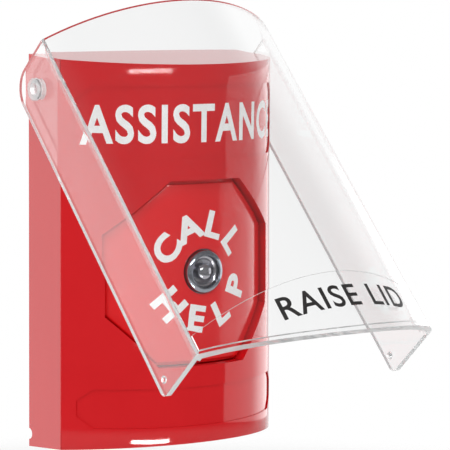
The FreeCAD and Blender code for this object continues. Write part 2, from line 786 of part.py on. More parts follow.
def cover_plan(name, inset, back, low, high):
    """Upright block of the cover's bowed plan, about the pivot."""
    side = cover_half - inset
    radius = cover_radius - inset
    shoulder = cover_centre + root(radius * radius - side * side)
    outline = [
        (-side, as_size(back)),
        (-side, -shoulder, ZERO, -cover_centre, radius),
        (side, -shoulder),
        (side, as_size(back)),
    ]
    return prism(name, outline, low, high, "XY_Plane")


def cover_side_view(name):
    """Side of the cover: round ear about the pivot, top that falls towards the front."""
    back = size("cover_back")
    far = size("cover_front") + size("cover_bow") + 1
    top_front = back - size("cover_top_fall") * (far - size("cover_front"))
    tip = size("tip_round")
    low = -size("cover_length")
    wall_back = size("cover_front") - size("cover_wall")
    outline = [
        (back - tip, low, back - tip, low + tip, tip),
        (back, low + tip),
        (back, ZERO, ZERO, ZERO, back),
        (ZERO, back),
        (-size("cover_front"), back),
        (-far, top_front),
        (-far, chin_low - 1),
        (-wall_back, chin_low - 1),
        (-wall_back, low),
    ]
    return prism(name, outline, -cover_half - 1, cover_half + 1, "YZ_Plane")


def cover_front_view(name):
    """Front of the cover: straight sides and a chin that sags between them."""
    low = -size("cover_length")
    high = size("cover_back") + 1
    outline = [(-cover_half, low, ZERO, chin_centre, chin_radius), (cover_half, low),
               (cover_half, high), (-cover_half, high)]
    return prism(name, outline, -high, size("cover_front") + size("cover_bow") + 1)


def lift_pad(name):
    """Band inside the front wall, along the chin, that fingers lift the cover by."""
    wide = cover_half - size("cover_wall") - size("lift_pad_inset")
    fall = size("lift_pad_fall")
    low_radius = chin_radius - size("lift_pad_margin")
    low_end = chin_centre - root(low_radius * low_radius - wide * wide)
    top_radius = (wide * wide + fall * fall) / (2 * fall)
    top = size("lift_pad_height") - size("cover_length")
    outline = [(-wide, low_end, ZERO, chin_centre, low_radius), (wide, low_end),
               (wide, top - fall, ZERO, top - top_radius, top_radius), (-wide, top - fall)]
    return prism(name, outline, size("cover_front") - size("cover_wall"),
                 size("cover_front") + size("cover_bow") + 1)


def cover_hollow(name, inset):
    return cover_plan(name, inset, size("cover_back") + 2, chin_low - 2, size("cover_back") + 2)


cover_outer_plan = cover_plan("cover_outer_plan", ZERO, size("cover_back") + 1, chin_low - 1,
                              size("cover_back") + 1)
rounded(cover_outer_plan, "cover_front_corners", size("cover_corner_round"), lambda edge: (
    edge.Curve.TypeId == "Part::GeomLine" and abs(edge.CenterOfMass.y + SIZES["cover_front"]) < 0.01
    and edge.Length > SIZES["cover_length"] / 2))
cover_outer = common("cover_outer", cover_outer_plan, cover_side_view("cover_side"),
                     cover_front_view("cover_front_view"))
cover_inner = join(
    "cover_inner",
    cut("hollow_past_pad", cover_hollow("cover_hollow", size("cover_wall")), lift_pad("lift_pad")),
    cover_hollow("hollow_at_pad", size("cover_wall") + size("lift_pad_rise")))
cover_shell = cut("cover_shell", cover_outer, cover_inner)
inner_face = cover_half - size("cover_wall")
pin_inner = half_width - size("shell_wall") - size("pin_end_gap")
stub_pins = [
    cross_rod("pin_left", ZERO, ZERO, size("pin_radius"), -inner_face - 1, -pin_inner),
    cross_rod("pin_right", ZERO, ZERO, size("pin_radius"), pin_inner, inner_face + 1),
]
pin_cores = [
    cross_rod("pin_core_left", ZERO, ZERO, size("pin_core_radius"), -cover_half - 1,
              size("pin_core_depth") - cover_half),
    cross_rod("pin_core_right", ZERO, ZERO, size("pin_core_radius"),
              cover_half - size("pin_core_depth"), cover_half + 1),
]
detents = []
for side, sx in (("left", -1), ("right", 1)):
    detent = document.addObject("Part::Sphere", f"detent_{side}")
    bind(detent, Radius=size("detent_radius"))
    place(detent, sx * (inner_face + size("detent_radius") - size("detent_height")),
          -size("detent_forward"), size("detent_rise") - size("cover_length"))
    detents.append(detent)
cover = cut("cover", join("cover_solid", cover_shell, *stub_pins, *detents), *pin_cores)
cover.Placement = FreeCAD.Placement(FreeCAD.Vector(), FreeCAD.Rotation(FreeCAD.Vector(-1, 0, 0), SIZES["open_angle"]))
bind(cover, Placement__Rotation__Angle=size("open_angle"))
place(cover, ZERO, -size("pivot_depth"), size("pivot_height"))

# Nodes

NODES = {
    "housing": housing,
    "push_button": push_button,
    "lock_barrel": lock_barrel,
    "lock_plug": lock_plug,
    "lock_nut": lock_nut,
    "lock_washer": lock_washer,
    "lock_cam": lock_cam,
    "cam_screw": cam_screw,
    "guide_screws": guide_screws,
    "back_plate": back_plate,
    "housing_screws": housing_screws,
    "carrier": carrier,
    "standoffs": standoffs,
    "carrier_screws": carrier_screws,
    "terminals": terminals,
    "terminal_screws": terminal_screws,
    "cover": cover,
    **contact_pieces,
    **springs,
}

for name, item in NODES.items():
    item.Label = name
document.recompute()

failed = [item.Name for item in document.Objects if "Invalid" in item.State or "Error" in item.State]
if failed:
    raise RuntimeError(f"these objects failed: {failed}")
os.makedirs("parts", exist_ok=True)
for name, item in NODES.items():
    shape = item.Shape
    if shape.isNull() or not shape.isValid() or not shape.Solids:
        raise RuntimeError(f"{name} has no valid solid")
    shape.exportStep(os.path.join("parts", f"{name}.step"))
    print(f"{name}: {len(shape.Solids)} solids, {shape.Volume:.1f} mm3, {shape.BoundBox}")
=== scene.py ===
# %% [markdown]
# # A wall call button under a lift-up clear cover
#
# The real object is a red moulded box that is flat at the back and strongly bowed in front. A
# large bowed button with a key switch sits in an eight-sided window, and a clear cover hangs
# over it from two stub pins. The construction model already holds the true shapes, so this
# lesson mostly dresses them: it gives each piece its finish, adds the raised face of the button
# and the front of the key switch, prints the words, and lights the whole as a catalogue picture.
# Modelling the other shapes again here would let them drift from the real sizes, which is why
# the frame is loaded and never moved.

import json
import math

import bmesh
import bpy
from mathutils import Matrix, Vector


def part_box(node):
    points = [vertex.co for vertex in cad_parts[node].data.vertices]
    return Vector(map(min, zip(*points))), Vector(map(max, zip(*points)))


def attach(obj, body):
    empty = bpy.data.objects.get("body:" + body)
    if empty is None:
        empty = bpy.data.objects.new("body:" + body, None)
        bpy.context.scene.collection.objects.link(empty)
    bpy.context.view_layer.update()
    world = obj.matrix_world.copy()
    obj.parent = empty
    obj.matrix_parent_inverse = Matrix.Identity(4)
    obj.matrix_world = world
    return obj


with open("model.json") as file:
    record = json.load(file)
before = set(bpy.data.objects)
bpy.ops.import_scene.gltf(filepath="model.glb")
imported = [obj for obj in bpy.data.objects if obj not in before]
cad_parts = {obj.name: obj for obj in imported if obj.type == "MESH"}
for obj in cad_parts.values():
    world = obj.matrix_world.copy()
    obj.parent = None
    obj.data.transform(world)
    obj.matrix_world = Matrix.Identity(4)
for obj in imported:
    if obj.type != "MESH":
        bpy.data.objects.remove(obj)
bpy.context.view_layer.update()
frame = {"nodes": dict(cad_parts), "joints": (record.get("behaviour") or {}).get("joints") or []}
print("pieces loaded:", len(frame["nodes"]))

# %% [markdown]
# ## Sizes and directions
#
# Everything is in metres, with the wall at y = 0, the front towards -Y and +Z up. A product
# photographer thinks in angles round the object, so directions are given as an azimuth, from
# the front towards the right, and a height angle. The front is a piece of a cylinder whose
# axis stands upright behind the face. Two sizes from the frame and one named depth give that
# axis, and the print needs it later to lie on the curve.

# %% Sizes and directions
MM = 0.001

side_depth = 18.0 * MM
pivot = Vector(next(joint["pos_m"] for joint in frame["joints"] if joint["name"] == "cover_hinge"))

housing_low, housing_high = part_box("housing")
half_width = housing_high.x
front_depth = -housing_low.y
bow_rise = front_depth - side_depth
bow_radius = (half_width ** 2 + bow_rise ** 2) / (2 * bow_rise)
bow_axis_y = bow_radius - front_depth


def facing(azimuth, height):
    """Unit vector from the object towards an azimuth (front 0, right positive) and a height angle."""
    turn = math.radians(azimuth)
    rise = math.radians(height)
    return Vector((math.sin(turn) * math.cos(rise), -math.cos(turn) * math.cos(rise), math.sin(rise)))


print(f"bow radius {bow_radius / MM:.2f} mm, axis {bow_axis_y / MM:.2f} mm behind the wall plane")

# %% [markdown]
# ## The camera
#
# A catalogue picture is taken with a long lens from far away, so that upright edges stay
# nearly parallel. The angle, the distance and the lens were found by matching the corners of
# the housing and of the cover. A shorter lens closer by would bend the box out of shape, and
# so would a perfectly parallel view, because the open cover does come nearer to the camera.

# %% The camera
camera_azimuth = -36.51
camera_height = 5.56
camera_distance = 0.86493
camera_roll = 0.34
camera_aim = Vector((35.39 * MM, 0.0, 4.15 * MM))

camera_data = bpy.data.cameras.new("camera")
camera_data.sensor_width = 36.0
camera_data.lens = 212.25
camera_data.clip_start = 0.05
camera = bpy.data.objects.new("camera", camera_data)
bpy.context.scene.collection.objects.link(camera)
camera_back = facing(camera_azimuth, camera_height)
camera.location = camera_aim + camera_back * camera_distance
camera.rotation_mode = "QUATERNION"
camera.rotation_quaternion = camera_back.to_track_quat("Z", "Y")
camera.rotation_mode = "XYZ"
camera.rotation_euler.rotate_axis("Z", math.radians(camera_roll))
bpy.context.scene.camera = camera
bpy.context.scene.view_settings.view_transform = "Standard"
print("camera at", [round(value / MM, 1) for value in camera.location], "mm")

# %% [markdown]
# ## Sums with sockets
#
# A finish is a chain of small nodes, and most of them only do sums. Written one by one they
# hide what the finish is about. A thin class can hold one output socket and answer to plus,
# minus and times by adding the Math node for it, so a line of Python reads like the recipe.
# Any other node comes from one method, which takes the node's type, its settings and what
# goes into its sockets.

# %% Sums with sockets
COLOUR_A, COLOUR_B, COLOUR_RESULT = 6, 7, 2


class Wire:
    """One value on its way through a finish."""

    def __init__(self, tree, socket):
        self.tree = tree
        self.socket = socket

    @classmethod
    def node(cls, tree, kind, settings=None, sockets=None, output=0):
        made = tree.nodes.new("ShaderNode" + kind)
        for name, value in (settings or {}).items():
            setattr(made, name, value)
        for name, value in (sockets or {}).items():
            if isinstance(value, Wire):
                tree.links.new(value.socket, made.inputs[name])
            else:
                made.inputs[name].default_value = value
        return cls(tree, made.outputs[output])

    def sum_node(self, operation, *numbers):
        return Wire.node(self.tree, "Math", {"operation": operation}, dict(enumerate(numbers)))

    def __add__(self, other):
        return self.sum_node("ADD", self, other)

    def __radd__(self, other):
        return self.sum_node("ADD", other, self)

    def __sub__(self, other):
        return self.sum_node("SUBTRACT", self, other)

    def __rsub__(self, other):
        return self.sum_node("SUBTRACT", other, self)

    def __mul__(self, other):
        return self.sum_node("MULTIPLY", self, other)

    def highest(self, other):
        """The larger of this value and another one."""
        return self.sum_node("MAXIMUM", self, other)

    def unsigned(self):
        """This value without its sign."""
        return self.sum_node("ABSOLUTE", self)

    def along(self, direction):
        """How far this place or normal reaches in a direction."""
        return Wire.node(self.tree, "VectorMath", {"operation": "DOT_PRODUCT"},
                         {0: self, 1: tuple(direction)}, "Value")

    def between(self, low, high):
        """0 below low, 1 above high and a soft step from one to the other."""
        return Wire.node(self.tree, "MapRange", {"interpolation_type": "SMOOTHSTEP"},
                         {"Value": self, "From Min": low, "From Max": high})

    def tint(self, colour_low, colour_high):
        """A colour that goes from the first, where this value is 0, to the second, where it is 1."""
        return Wire.node(self.tree, "Mix", {"data_type": "RGBA"},
                         {0: self, COLOUR_A: colour_low, COLOUR_B: colour_high}, COLOUR_RESULT)


def colour(red, green, blue):
    """Colour as a painter's chart gives it, from 0 to 255, in the linear values that light adds up in."""
    def linear(level):
        share = level / 255
        return share / 12.92 if share <= 0.04045 else ((share + 0.055) / 1.055) ** 2.4
    return (linear(red), linear(green), linear(blue), 1.0)


print("mid grey is", [round(value, 3) for value in colour(128, 128, 128)[:3]])

# %% [markdown]
# ## The studio
#
# The picture has a pure white background, a dark room in front and large white panels beside
# and behind the object. On glossy red plastic the panels do most of the work: the one on the
# right ends in a sharp upright edge that the bowed front mirrors as a pale band, and the one
# behind on the left whitens the flat side. The room is painted into the world by direction,
# because a mirror-like surface shows the room and a matt one only its average. Light bounces
# many times inside a clear wall before it leaves at an edge, so the limit on bounces is raised,
# or the edges of the cover would end in black.

# %% The studio
room_light = 0.52
dark_front = 0.20
bright_back = 1.0
light_bounces = 160

world = bpy.data.worlds.new("studio")
bpy.context.scene.world = world
world.use_nodes = True
room = world.node_tree
room.nodes.clear()
mirrors = Wire.node(room, "LightPath", output="Glossy Depth")
one_mirror = mirrors.sum_node("COMPARE", mirrors, 1.0, 0.5)
mirrored = one_mirror.highest(Wire.node(room, "LightPath", output="Is Glossy Ray"))
seen = Wire.node(room, "LightPath", output="Is Camera Ray").highest(
    Wire.node(room, "LightPath", output="Is Transmission Ray"))
backward = Wire.node(room, "TexCoord", output="Generated").along((0, 1, 0)).between(-0.08, 0.25)
room_in_mirror = dark_front + backward * (bright_back - dark_front)
unseen = mirrored * room_in_mirror + (1 - mirrored) * room_light
straight = seen * (1 - mirrored)
strength = straight + (1 - straight) * unseen
background = Wire.node(room, "Background", {}, {"Color": (1, 1, 1, 1), "Strength": strength})
room_output = room.nodes.new("ShaderNodeOutputWorld")
room.links.new(background.socket, room_output.inputs["Surface"])

cycles = bpy.context.scene.cycles
cycles.max_bounces = light_bounces
cycles.glossy_bounces = light_bounces
cycles.transmission_bounces = light_bounces
print("room", room_light, "dark front", dark_front, "bounces", light_bounces)

# %% [markdown]
# ## The lamps
#
# A lamp does two jobs: it lights the object and it is mirrored in it. On glossy plastic these
# jobs are best kept apart. The two large panels do both. The overhead lamp and the fill only
# light, or they would draw a bright patch on the clear cover. Two bright strips are only
# mirrored, and draw the thin glints at the rolled ends of the front. All of them stay out of
# sight of the camera, since it can be moved among them for other views.

# %% The lamps
def lamp(name, azimuth, height, distance, width, tall, radiance, mirrored_too=True, lights=True):
    """Soft rectangular lamp aimed at the object, which may only light it or only be mirrored in it."""
    light = bpy.data.lights.new(name, "AREA")
    light.shape = "RECTANGLE"
    light.size = width
    light.size_y = tall
    light.energy = radiance * width * tall * math.pi
    stand = bpy.data.objects.new(name, light)
    bpy.context.scene.collection.objects.link(stand)
    back = facing(azimuth, height)
    stand.location = back * distance
    stand.rotation_mode = "QUATERNION"
    stand.rotation_quaternion = back.to_track_quat("Z", "Y")
    stand.visible_camera = False
    stand.visible_glossy = mirrored_too
    stand.visible_transmission = mirrored_too
    stand.visible_diffuse = lights
    print(name, round(light.energy, 3), "watts")


lamp("right_panel", 88, -4, 0.9, 1.30, 0.42, 1.08)
lamp("left_back_panel", -140, -6, 0.9, 0.70, 0.34, 1.05)
lamp("overhead_lamp", -14, 55, 0.9, 0.34, 0.30, 5.0, mirrored_too=False)
lamp("front_left_fill", -45, 15, 1.2, 0.90, 0.90, 1.75, mirrored_too=False)
lamp("upper_strip", -12, 19, 0.9, 0.50, 0.085, 30.0, lights=False)
lamp("lower_strip", -15, -41, 0.164, 0.060, 0.011, 30.0, lights=False)

# %% [markdown]
# ## The floor
#
# The object hangs on a wall in use, so the floor is well below it and only catches a soft
# shadow. It is a pale disc that fades into the white of the room at its rim. A plain white
# plane would end in a visible edge or need far more light than the object can take. To the
# camera the disc is also half clear, which keeps it pale while the shadow stays.

# %% The floor
floor_drop = 60 * MM
floor_radius = 1.2
floor_fade_start = 0.18
floor_fade_end = 0.34
floor_clear_to_camera = 0.55


def disc(name, radius, height, steps=96):
    mesh = bpy.data.meshes.new(name)
    shape = bmesh.new()
    bmesh.ops.create_circle(shape, cap_ends=True, cap_tris=False, radius=radius, segments=steps)
    shape.to_mesh(mesh)
    shape.free()
    piece = bpy.data.objects.new(name, mesh)
    piece.location.z = height
    bpy.context.scene.collection.objects.link(piece)
    return piece


floor = disc("floor", floor_radius, housing_low.z - floor_drop)
floor_paint = bpy.data.materials.new("floor_paint")
floor_paint.use_nodes = True
tree = floor_paint.node_tree
tree.nodes.clear()
spot = Wire.node(tree, "TexCoord", output="Object")
reach = Wire.node(tree, "VectorMath", {"operation": "LENGTH"}, {0: spot}, "Value")
fade = reach.between(floor_fade_start, floor_fade_end)
matt = Wire.node(tree, "BsdfDiffuse", {}, {"Color": colour(240, 240, 238)})
clear = Wire.node(tree, "BsdfTransparent", {}, {"Color": (1, 1, 1, 1)})
looked_at = Wire.node(tree, "LightPath", output="Is Camera Ray") * floor_clear_to_camera
blend = Wire.node(tree, "MixShader", {}, {0: fade.highest(looked_at), 1: matt, 2: clear})
floor_output = tree.nodes.new("ShaderNodeOutputMaterial")
tree.links.new(blend.socket, floor_output.inputs["Surface"])
floor.data.materials.append(floor_paint)
print("floor at", round(floor.location.z / MM, 1), "mm")

# %% [markdown]
# ## One recipe for every finish
#
# Each finish ends in the same shader, and each needs the same start: the place on the piece,
# the way the surface faces there, a noise to break the evenness, and a bump. One helper sets
# that up, so that a finish only has to say what is its own. The place is measured in the
# piece's own millimetres, which keeps a grain at its real size on every piece. The facing is
# the piece's own too, so a finish stays the same when the piece moves.

# %% One recipe for every finish
class Finish:
    """A material under construction: a place on the piece, and the sockets of its shader."""

    def __init__(self, name, **sockets):
        self.material = bpy.data.materials.new(name)
        self.material.use_nodes = True
        self.tree = self.material.node_tree
        self.shader = self.tree.nodes["Principled BSDF"]
        self.place = Wire.node(self.tree, "VectorMath", {"operation": "SCALE"},
                               {0: Wire.node(self.tree, "TexCoord", output="Object"), "Scale": 1 / MM})
        for socket, value in sockets.items():
            self.set(socket.replace("_", " "), value)

    def set(self, socket, value):
        if isinstance(value, Wire):
            self.tree.links.new(value.socket, self.shader.inputs[socket])
        else:
            self.shader.inputs[socket].default_value = value

    def faces(self, direction):
        """How squarely the surface faces a direction, from -1 to 1, in the piece's own space."""
        return Wire.node(self.tree, "TexCoord", output="Normal").along(direction)

    def noise(self, scale, detail=2.0, roughness=0.5, place=None):
        """Soft random value, about 0 to 1, with `scale` cells to the millimetre."""
        return Wire.node(self.tree, "TexNoise", {}, {
            "Vector": place or self.place, "Scale": scale, "Detail": detail, "Roughness": roughness})

    def stretched(self, x, y, z):
        """The place, squeezed so that a noise becomes streaks."""
        return Wire.node(self.tree, "VectorMath", {"operation": "MULTIPLY"}, {0: self.place, 1: (x, y, z)})

    def bump(self, height, depth, strength=1.0):
        """Bump of a given depth in millimetres."""
        self.set("Normal", Wire.node(self.tree, "Bump", {}, {
            "Height": height, "Distance": depth * MM, "Strength": strength}))


# %% [markdown]
# ## Red moulded plastic
#
# The box and the button are moulded in one red polycarbonate, the box in a polished mould and
# the button in a duller one. The button's red is still set a little lighter than the box's, as
# painted light that makes up for the shade of the window it sits in and for the dimming of the
# cover over it. A mould leaves a skin that is smooth but not perfect: very long low waves, a
# breath of unevenness in the gloss, and a slightly deeper tone where the melt flowed thicker.
# The front of the box also rolls back very slightly towards its top and bottom ends, which a
# bump gives, so that the lamps are mirrored there as thin glints. Painting highlights would look
# right from one side only, so the finish leaves the shine to the lamps.

# %% Red moulded plastic
roll_start = 52.0 * MM
roll_curve = 0.02
front_facing = (0.3, 0.5)


def rolled_ends(finish):
    """Depth in millimetres by which the front of the box falls back near its ends."""
    past = (finish.place.along((0, 0, 1)).unsigned() - roll_start / MM).highest(0.0)
    to_front = finish.faces((0, -1, 0)).between(*front_facing)
    return to_front * past * past * roll_curve


def red_plastic(name, tone, deep_tone, dullness, rolled=False):
    finish = Finish(name, IOR=1.5)
    flow = finish.noise(0.03, 3.0)
    skin = finish.noise(0.35, 2.0)
    finish.set("Base Color", flow.between(0.35, 0.7).tint(tone, deep_tone))
    finish.set("Roughness", dullness + skin * 0.05)
    waves = finish.noise(0.16, 1.0) * 0.004
    finish.bump(waves - rolled_ends(finish) if rolled else waves, 1.0)
    return finish.material


red_shell = red_plastic("red_shell", colour(217, 26, 33), colour(213, 23, 30), 0.045, rolled=True)
# Painted light: the button's red is lighter than the box's, making up for the shade of its window and the
# cover over it.
red_button = red_plastic("red_button", colour(230, 28, 33), colour(226, 25, 30), 0.13)
print("red finishes ready")

# %% [markdown]
# ## Where the cover is matt
#
# The clear cover's narrow edges were trimmed after moulding and are a little matt, so they
# scatter light and look pale. A finish can find them by their place: the cover stands open by
# 43 degrees about its pins, and turned back by that angle its edges lie square. The corner
# between side and front is thick and gathers light too, as a faint pale band, and the stub
# pins were turned to size, which leaves them hazy. Faces of their own for the second finish
# would need a cut in the construction model.

# %% Where the cover is matt
open_angle = math.radians(43.0)
cover_forward = Vector((0, -math.cos(open_angle), math.sin(open_angle)))
cover_up = Vector((0, math.sin(open_angle), math.cos(open_angle)))
cover_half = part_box("cover")[1].x
cover_front = 13.5 * MM
below_ears = -30 * MM
cover_points = [corner.co - pivot for corner in frame["nodes"]["cover"].data.vertices]
cover_back = min(point.dot(cover_forward) for point in cover_points if point.dot(cover_up) < below_ears)
cover_low = min(point.dot(cover_up) for point in cover_points)

chin_reach = 28.0 * MM
corner_band = 1.7 * MM
corner_share = 0.4
pin_haze = 3.2 * MM


def step_at(value, edge, width):
    """0 below an edge and 1 from a width above it, both in metres, for a value in millimetres."""
    return value.between(edge / MM, (edge + width) / MM)


def matt_places(finish):
    """1 on the trimmed edges and the pins of the cover, less at its corners, 0 elsewhere."""
    from_pivot = Wire.node(finish.tree, "VectorMath", {"operation": "SUBTRACT"},
                           {0: finish.place, 1: tuple(pivot / MM)})
    forward = from_pivot.along(cover_forward)
    up = from_pivot.along(cover_up)
    back_edge = 1 - step_at(forward, cover_back + 0.1 * MM, 0.2 * MM)
    low_end = 1 - step_at(up, cover_low + chin_reach, 2.0 * MM)
    low_edge = finish.faces(cover_up).unsigned().between(0.45, 0.6) * low_end
    side = finish.faces((1, 0, 0)).unsigned().between(0.8, 0.9)
    corner = side * step_at(forward, cover_front - corner_band, 0.15 * MM) * corner_share
    from_pin = forward * forward + up * up
    pin = 1 - from_pin.between((pin_haze / MM) ** 2, (pin_haze / MM + 0.5) ** 2)
    return back_edge.highest(low_edge).highest(corner.highest(pin))


print(f"cover: back edge {cover_back / MM:.1f} mm, lowest point {cover_low / MM:.1f} mm from the pins")

# %% [markdown]
# ## Clear cover
#
# The cover is one clear polycarbonate moulding with 2 mm walls. Its look comes from the
# thickness: light enters the skin, runs along the wall and leaves at the edges, which is why
# they are grey and white while the faces nearly vanish. True refraction through the solid
# wall gives that, where a see-through alpha film would not. Shadow rays pass straight, because
# a clear sheet hardly dims what lies under it. The matt places above take a share of plain
# scattering.

# %% Clear cover
edge_matt = 0.6


def clear_plastic(name):
    finish = Finish(name, IOR=1.5)
    finish.set("Base Color", finish.noise(0.02, 1.0).tint(colour(252, 252, 252), colour(250, 251, 251)))
    finish.set("Transmission Weight", 1.0)
    finish.set("Roughness", 0.01 + finish.noise(0.2, 2.0).between(0.55, 0.8) * 0.02)
    finish.bump(finish.noise(0.05, 1.0), 0.02, 0.2)
    shadow = Wire.node(finish.tree, "LightPath", output="Is Shadow Ray")
    passing = shadow + Wire.node(finish.tree, "LightPath", output="Is Diffuse Ray")
    through = Wire.node(finish.tree, "BsdfTransparent", {}, {"Color": (0.97, 0.97, 0.97, 1)})
    solid = Wire(finish.tree, finish.shader.outputs["BSDF"])
    matt = Wire.node(finish.tree, "BsdfDiffuse", {}, {"Color": colour(240, 243, 244)})
    share = matt_places(finish) * edge_matt
    edged = Wire.node(finish.tree, "MixShader", {}, {0: share, 1: solid, 2: matt})
    mixed = Wire.node(finish.tree, "MixShader", {}, {0: passing, 1: edged, 2: through})
    finish.tree.links.new(mixed.socket, finish.tree.nodes["Material Output"].inputs["Surface"])
    return finish.material


clear_cover = clear_plastic("clear_cover")
print("clear finish ready")

# %% [markdown]
# ## Metals
#
# The lock's collar is chrome plated, its plug is bright steel, and the parts inside are zinc
# plated steel, brass and spring wire. A turned part carries fine rings round its axis, and a
# pressed or plated one a fine grain along one direction. Streaked noise gives both: rings
# come from the distance to the lock's axis, and straight grain from squeezing the place.

# %% Metals
rings_per_mm = 9.0
lock_centre = (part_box("lock_barrel")[0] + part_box("lock_barrel")[1]) / 2


def turned_metal(name, tone, worn_tone, smoothness, ring_depth):
    """Metal that was turned about the lock's axis."""
    finish = Finish(name, Metallic=1.0)
    from_axis = Wire.node(finish.tree, "VectorMath", {"operation": "SUBTRACT"},
                          {0: finish.stretched(1, 0, 1), 1: (lock_centre.x / MM, 0, lock_centre.z / MM)})
    radius = Wire.node(finish.tree, "VectorMath", {"operation": "LENGTH"}, {0: from_axis}, "Value")
    rings = Wire.node(finish.tree, "TexNoise", {"noise_dimensions": "1D"},
                      {"W": radius * rings_per_mm, "Detail": 2.0})
    finish.set("Base Color", finish.noise(0.4, 3.0).tint(tone, worn_tone))
    finish.set("Roughness", smoothness + rings * 0.06)
    finish.bump(rings, ring_depth, 0.5)
    return finish.material


def grained_metal(name, tone, worn_tone, smoothness, grain=(1.0, 1.0, 0.06)):
    """Metal sheet or wire with a straight grain and a mottled plating."""
    finish = Finish(name, Metallic=1.0)
    streaks = finish.noise(6.0, 3.0, place=finish.stretched(*grain))
    mottle = finish.noise(0.5, 3.0)
    finish.set("Base Color", mottle.between(0.35, 0.65).tint(tone, worn_tone))
    finish.set("Roughness", smoothness + streaks * 0.12)
    finish.bump(streaks, 0.01, 0.4)
    return finish.material


chrome = turned_metal("chrome", colour(186, 190, 200), colour(168, 173, 184), 0.08, 0.004)
lock_steel = turned_metal("lock_steel", colour(206, 205, 210), colour(184, 184, 192), 0.10, 0.006)
zinc_steel = grained_metal("zinc_steel", colour(190, 194, 200), colour(165, 172, 184), 0.26)
brass = grained_metal("brass", colour(205, 170, 100), colour(186, 148, 82), 0.22, (1.0, 0.06, 1.0))
spring_steel = grained_metal("spring_steel", colour(150, 152, 156), colour(120, 122, 128), 0.24, (1, 1, 1))
print("metal finishes ready")

# %% [markdown]
# ## Nylon inside
#
# The carrier and the contact blocks are moulded nylon. Nylon is duller than polycarbonate
# and has the fine spark-eroded grain of its mould, so it gets a fine bump and a higher
# roughness, and only a small change of tone.

# %% Nylon inside
def nylon(name, tone, pale_tone):
    finish = Finish(name, IOR=1.53)
    grain = finish.noise(3.5, 3.0, 0.6)
    finish.set("Base Color", finish.noise(0.15, 3.0).between(0.3, 0.7).tint(tone, pale_tone))
    finish.set("Roughness", 0.42 + grain * 0.2)
    finish.bump(grain, 0.02, 0.6)
    return finish.material


black_nylon = nylon("black_nylon", colour(34, 34, 36), colour(44, 44, 46))
grey_nylon = nylon("grey_nylon", colour(150, 152, 152), colour(164, 166, 166))
print("nylon finishes ready")

# %% [markdown]
# ## Screen ink
#
# The words are screen printed. The ink is opaque, a little duller than the plastic, and it
# thins slightly in places, so it shows a trace of mottle. A label with a film round the words
# would show its edge, and the real face shows none.

# %% Screen ink
def ink(name, tone, thin_tone, dullness):
    finish = Finish(name, IOR=1.45)
    mottle = finish.noise(0.8, 4.0, 0.6)
    finish.set("Base Color", mottle.between(0.35, 0.75).tint(tone, thin_tone))
    finish.set("Roughness", dullness + mottle * 0.1)
    finish.bump(finish.noise(2.5, 2.0), 0.01, 0.4)
    return finish.material


white_ink = ink("white_ink", colour(252, 251, 251), colour(246, 244, 244), 0.32)
black_ink = ink("black_ink", colour(38, 36, 36), colour(52, 49, 48), 0.34)
print("inks ready")

# %% [markdown]
# ## Dress the pieces
#
# Each piece of the construction model arrives with a plain material whose name says what it
# is made of. Putting the finish into that same slot keeps the shape untouched and makes sure
# that no piece is left bare.

# %% Dress the pieces
finishes = {
    "red_shell": red_shell,
    "red_button": red_button,
    "clear_cover": clear_cover,
    "chrome": chrome,
    "lock_steel": lock_steel,
    "zinc_steel": zinc_steel,
    "black_nylon": black_nylon,
    "grey_nylon": grey_nylon,
    "brass": brass,
    "spring_steel": spring_steel,
}
plain_names = {piece.name: piece.material_slots[0].material.name for piece in frame["nodes"].values()}
for piece in frame["nodes"].values():
    piece.material_slots[0].material = finishes[plain_names[piece.name].split(".")[0]]
print("dressed", len(plain_names), "pieces in", len(set(plain_names.values())), "finishes")

# %% [markdown]
# ## Tools for thin curved pieces
#
# The face plate and the printed words are flat at first and are bent onto a curved surface
# afterwards. A long flat face can't follow a curve, so the shape is cut into narrow upright
# strips before it is bent. A subdivision would cut everywhere, also where nothing bends. Each
# finished piece then rides on a body of the frame, so that it moves with the real part.

# %% Tools for thin curved pieces
def mesh_of_curve(curve):
    """Mesh of a curve or a text, as a bmesh, with the curve removed."""
    drawn = bpy.data.objects.new(curve.name, curve)
    bpy.context.scene.collection.objects.link(drawn)
    mesh = bpy.data.meshes.new_from_object(drawn.evaluated_get(bpy.context.evaluated_depsgraph_get()))
    bpy.data.objects.remove(drawn)
    bpy.data.curves.remove(curve)
    shape = bmesh.new()
    shape.from_mesh(mesh)
    bpy.data.meshes.remove(mesh)
    return shape


def cut_into_strips(shape, step):
    """Cuts a shape by upright planes, so that it can follow a curve."""
    low = min(corner.co.x for corner in shape.verts)
    high = max(corner.co.x for corner in shape.verts)
    for number in range(1, math.ceil((high - low) / step)):
        parts = shape.verts[:] + shape.edges[:] + shape.faces[:]
        place = (low + number * step, 0, 0)
        bmesh.ops.bisect_plane(shape, geom=parts, plane_co=place, plane_no=(1, 0, 0))


def settle(name, shape, body, material, crease=15):
    """Turns a bmesh into a piece with smooth flanks and crisp edges that rides on a body."""
    bmesh.ops.recalc_face_normals(shape, faces=shape.faces)
    mesh = bpy.data.meshes.new(name)
    shape.to_mesh(mesh)
    shape.free()
    mesh.shade_smooth()
    mesh.set_sharp_from_angle(angle=math.radians(crease))
    piece = bpy.data.objects.new(name, mesh)
    bpy.context.scene.collection.objects.link(piece)
    mesh.materials.append(material)
    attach(piece, body)
    print(name, "has", len(mesh.polygons), "faces")


# %% [markdown]
# ## The raised face of the button
#
# The button carries a face that stands a little forward of its solid cap, with a round opening
# for the key switch. A flat curve with a hole in it gives the outline, its own rounded edge and
# its thickness at once. The flat plate is then bent to the bow of the housing, the way a
# vacuum-formed panel takes the shape of its mould. A thin flange behind it closes most of the
# gap to the housing and keeps dust out of the works.

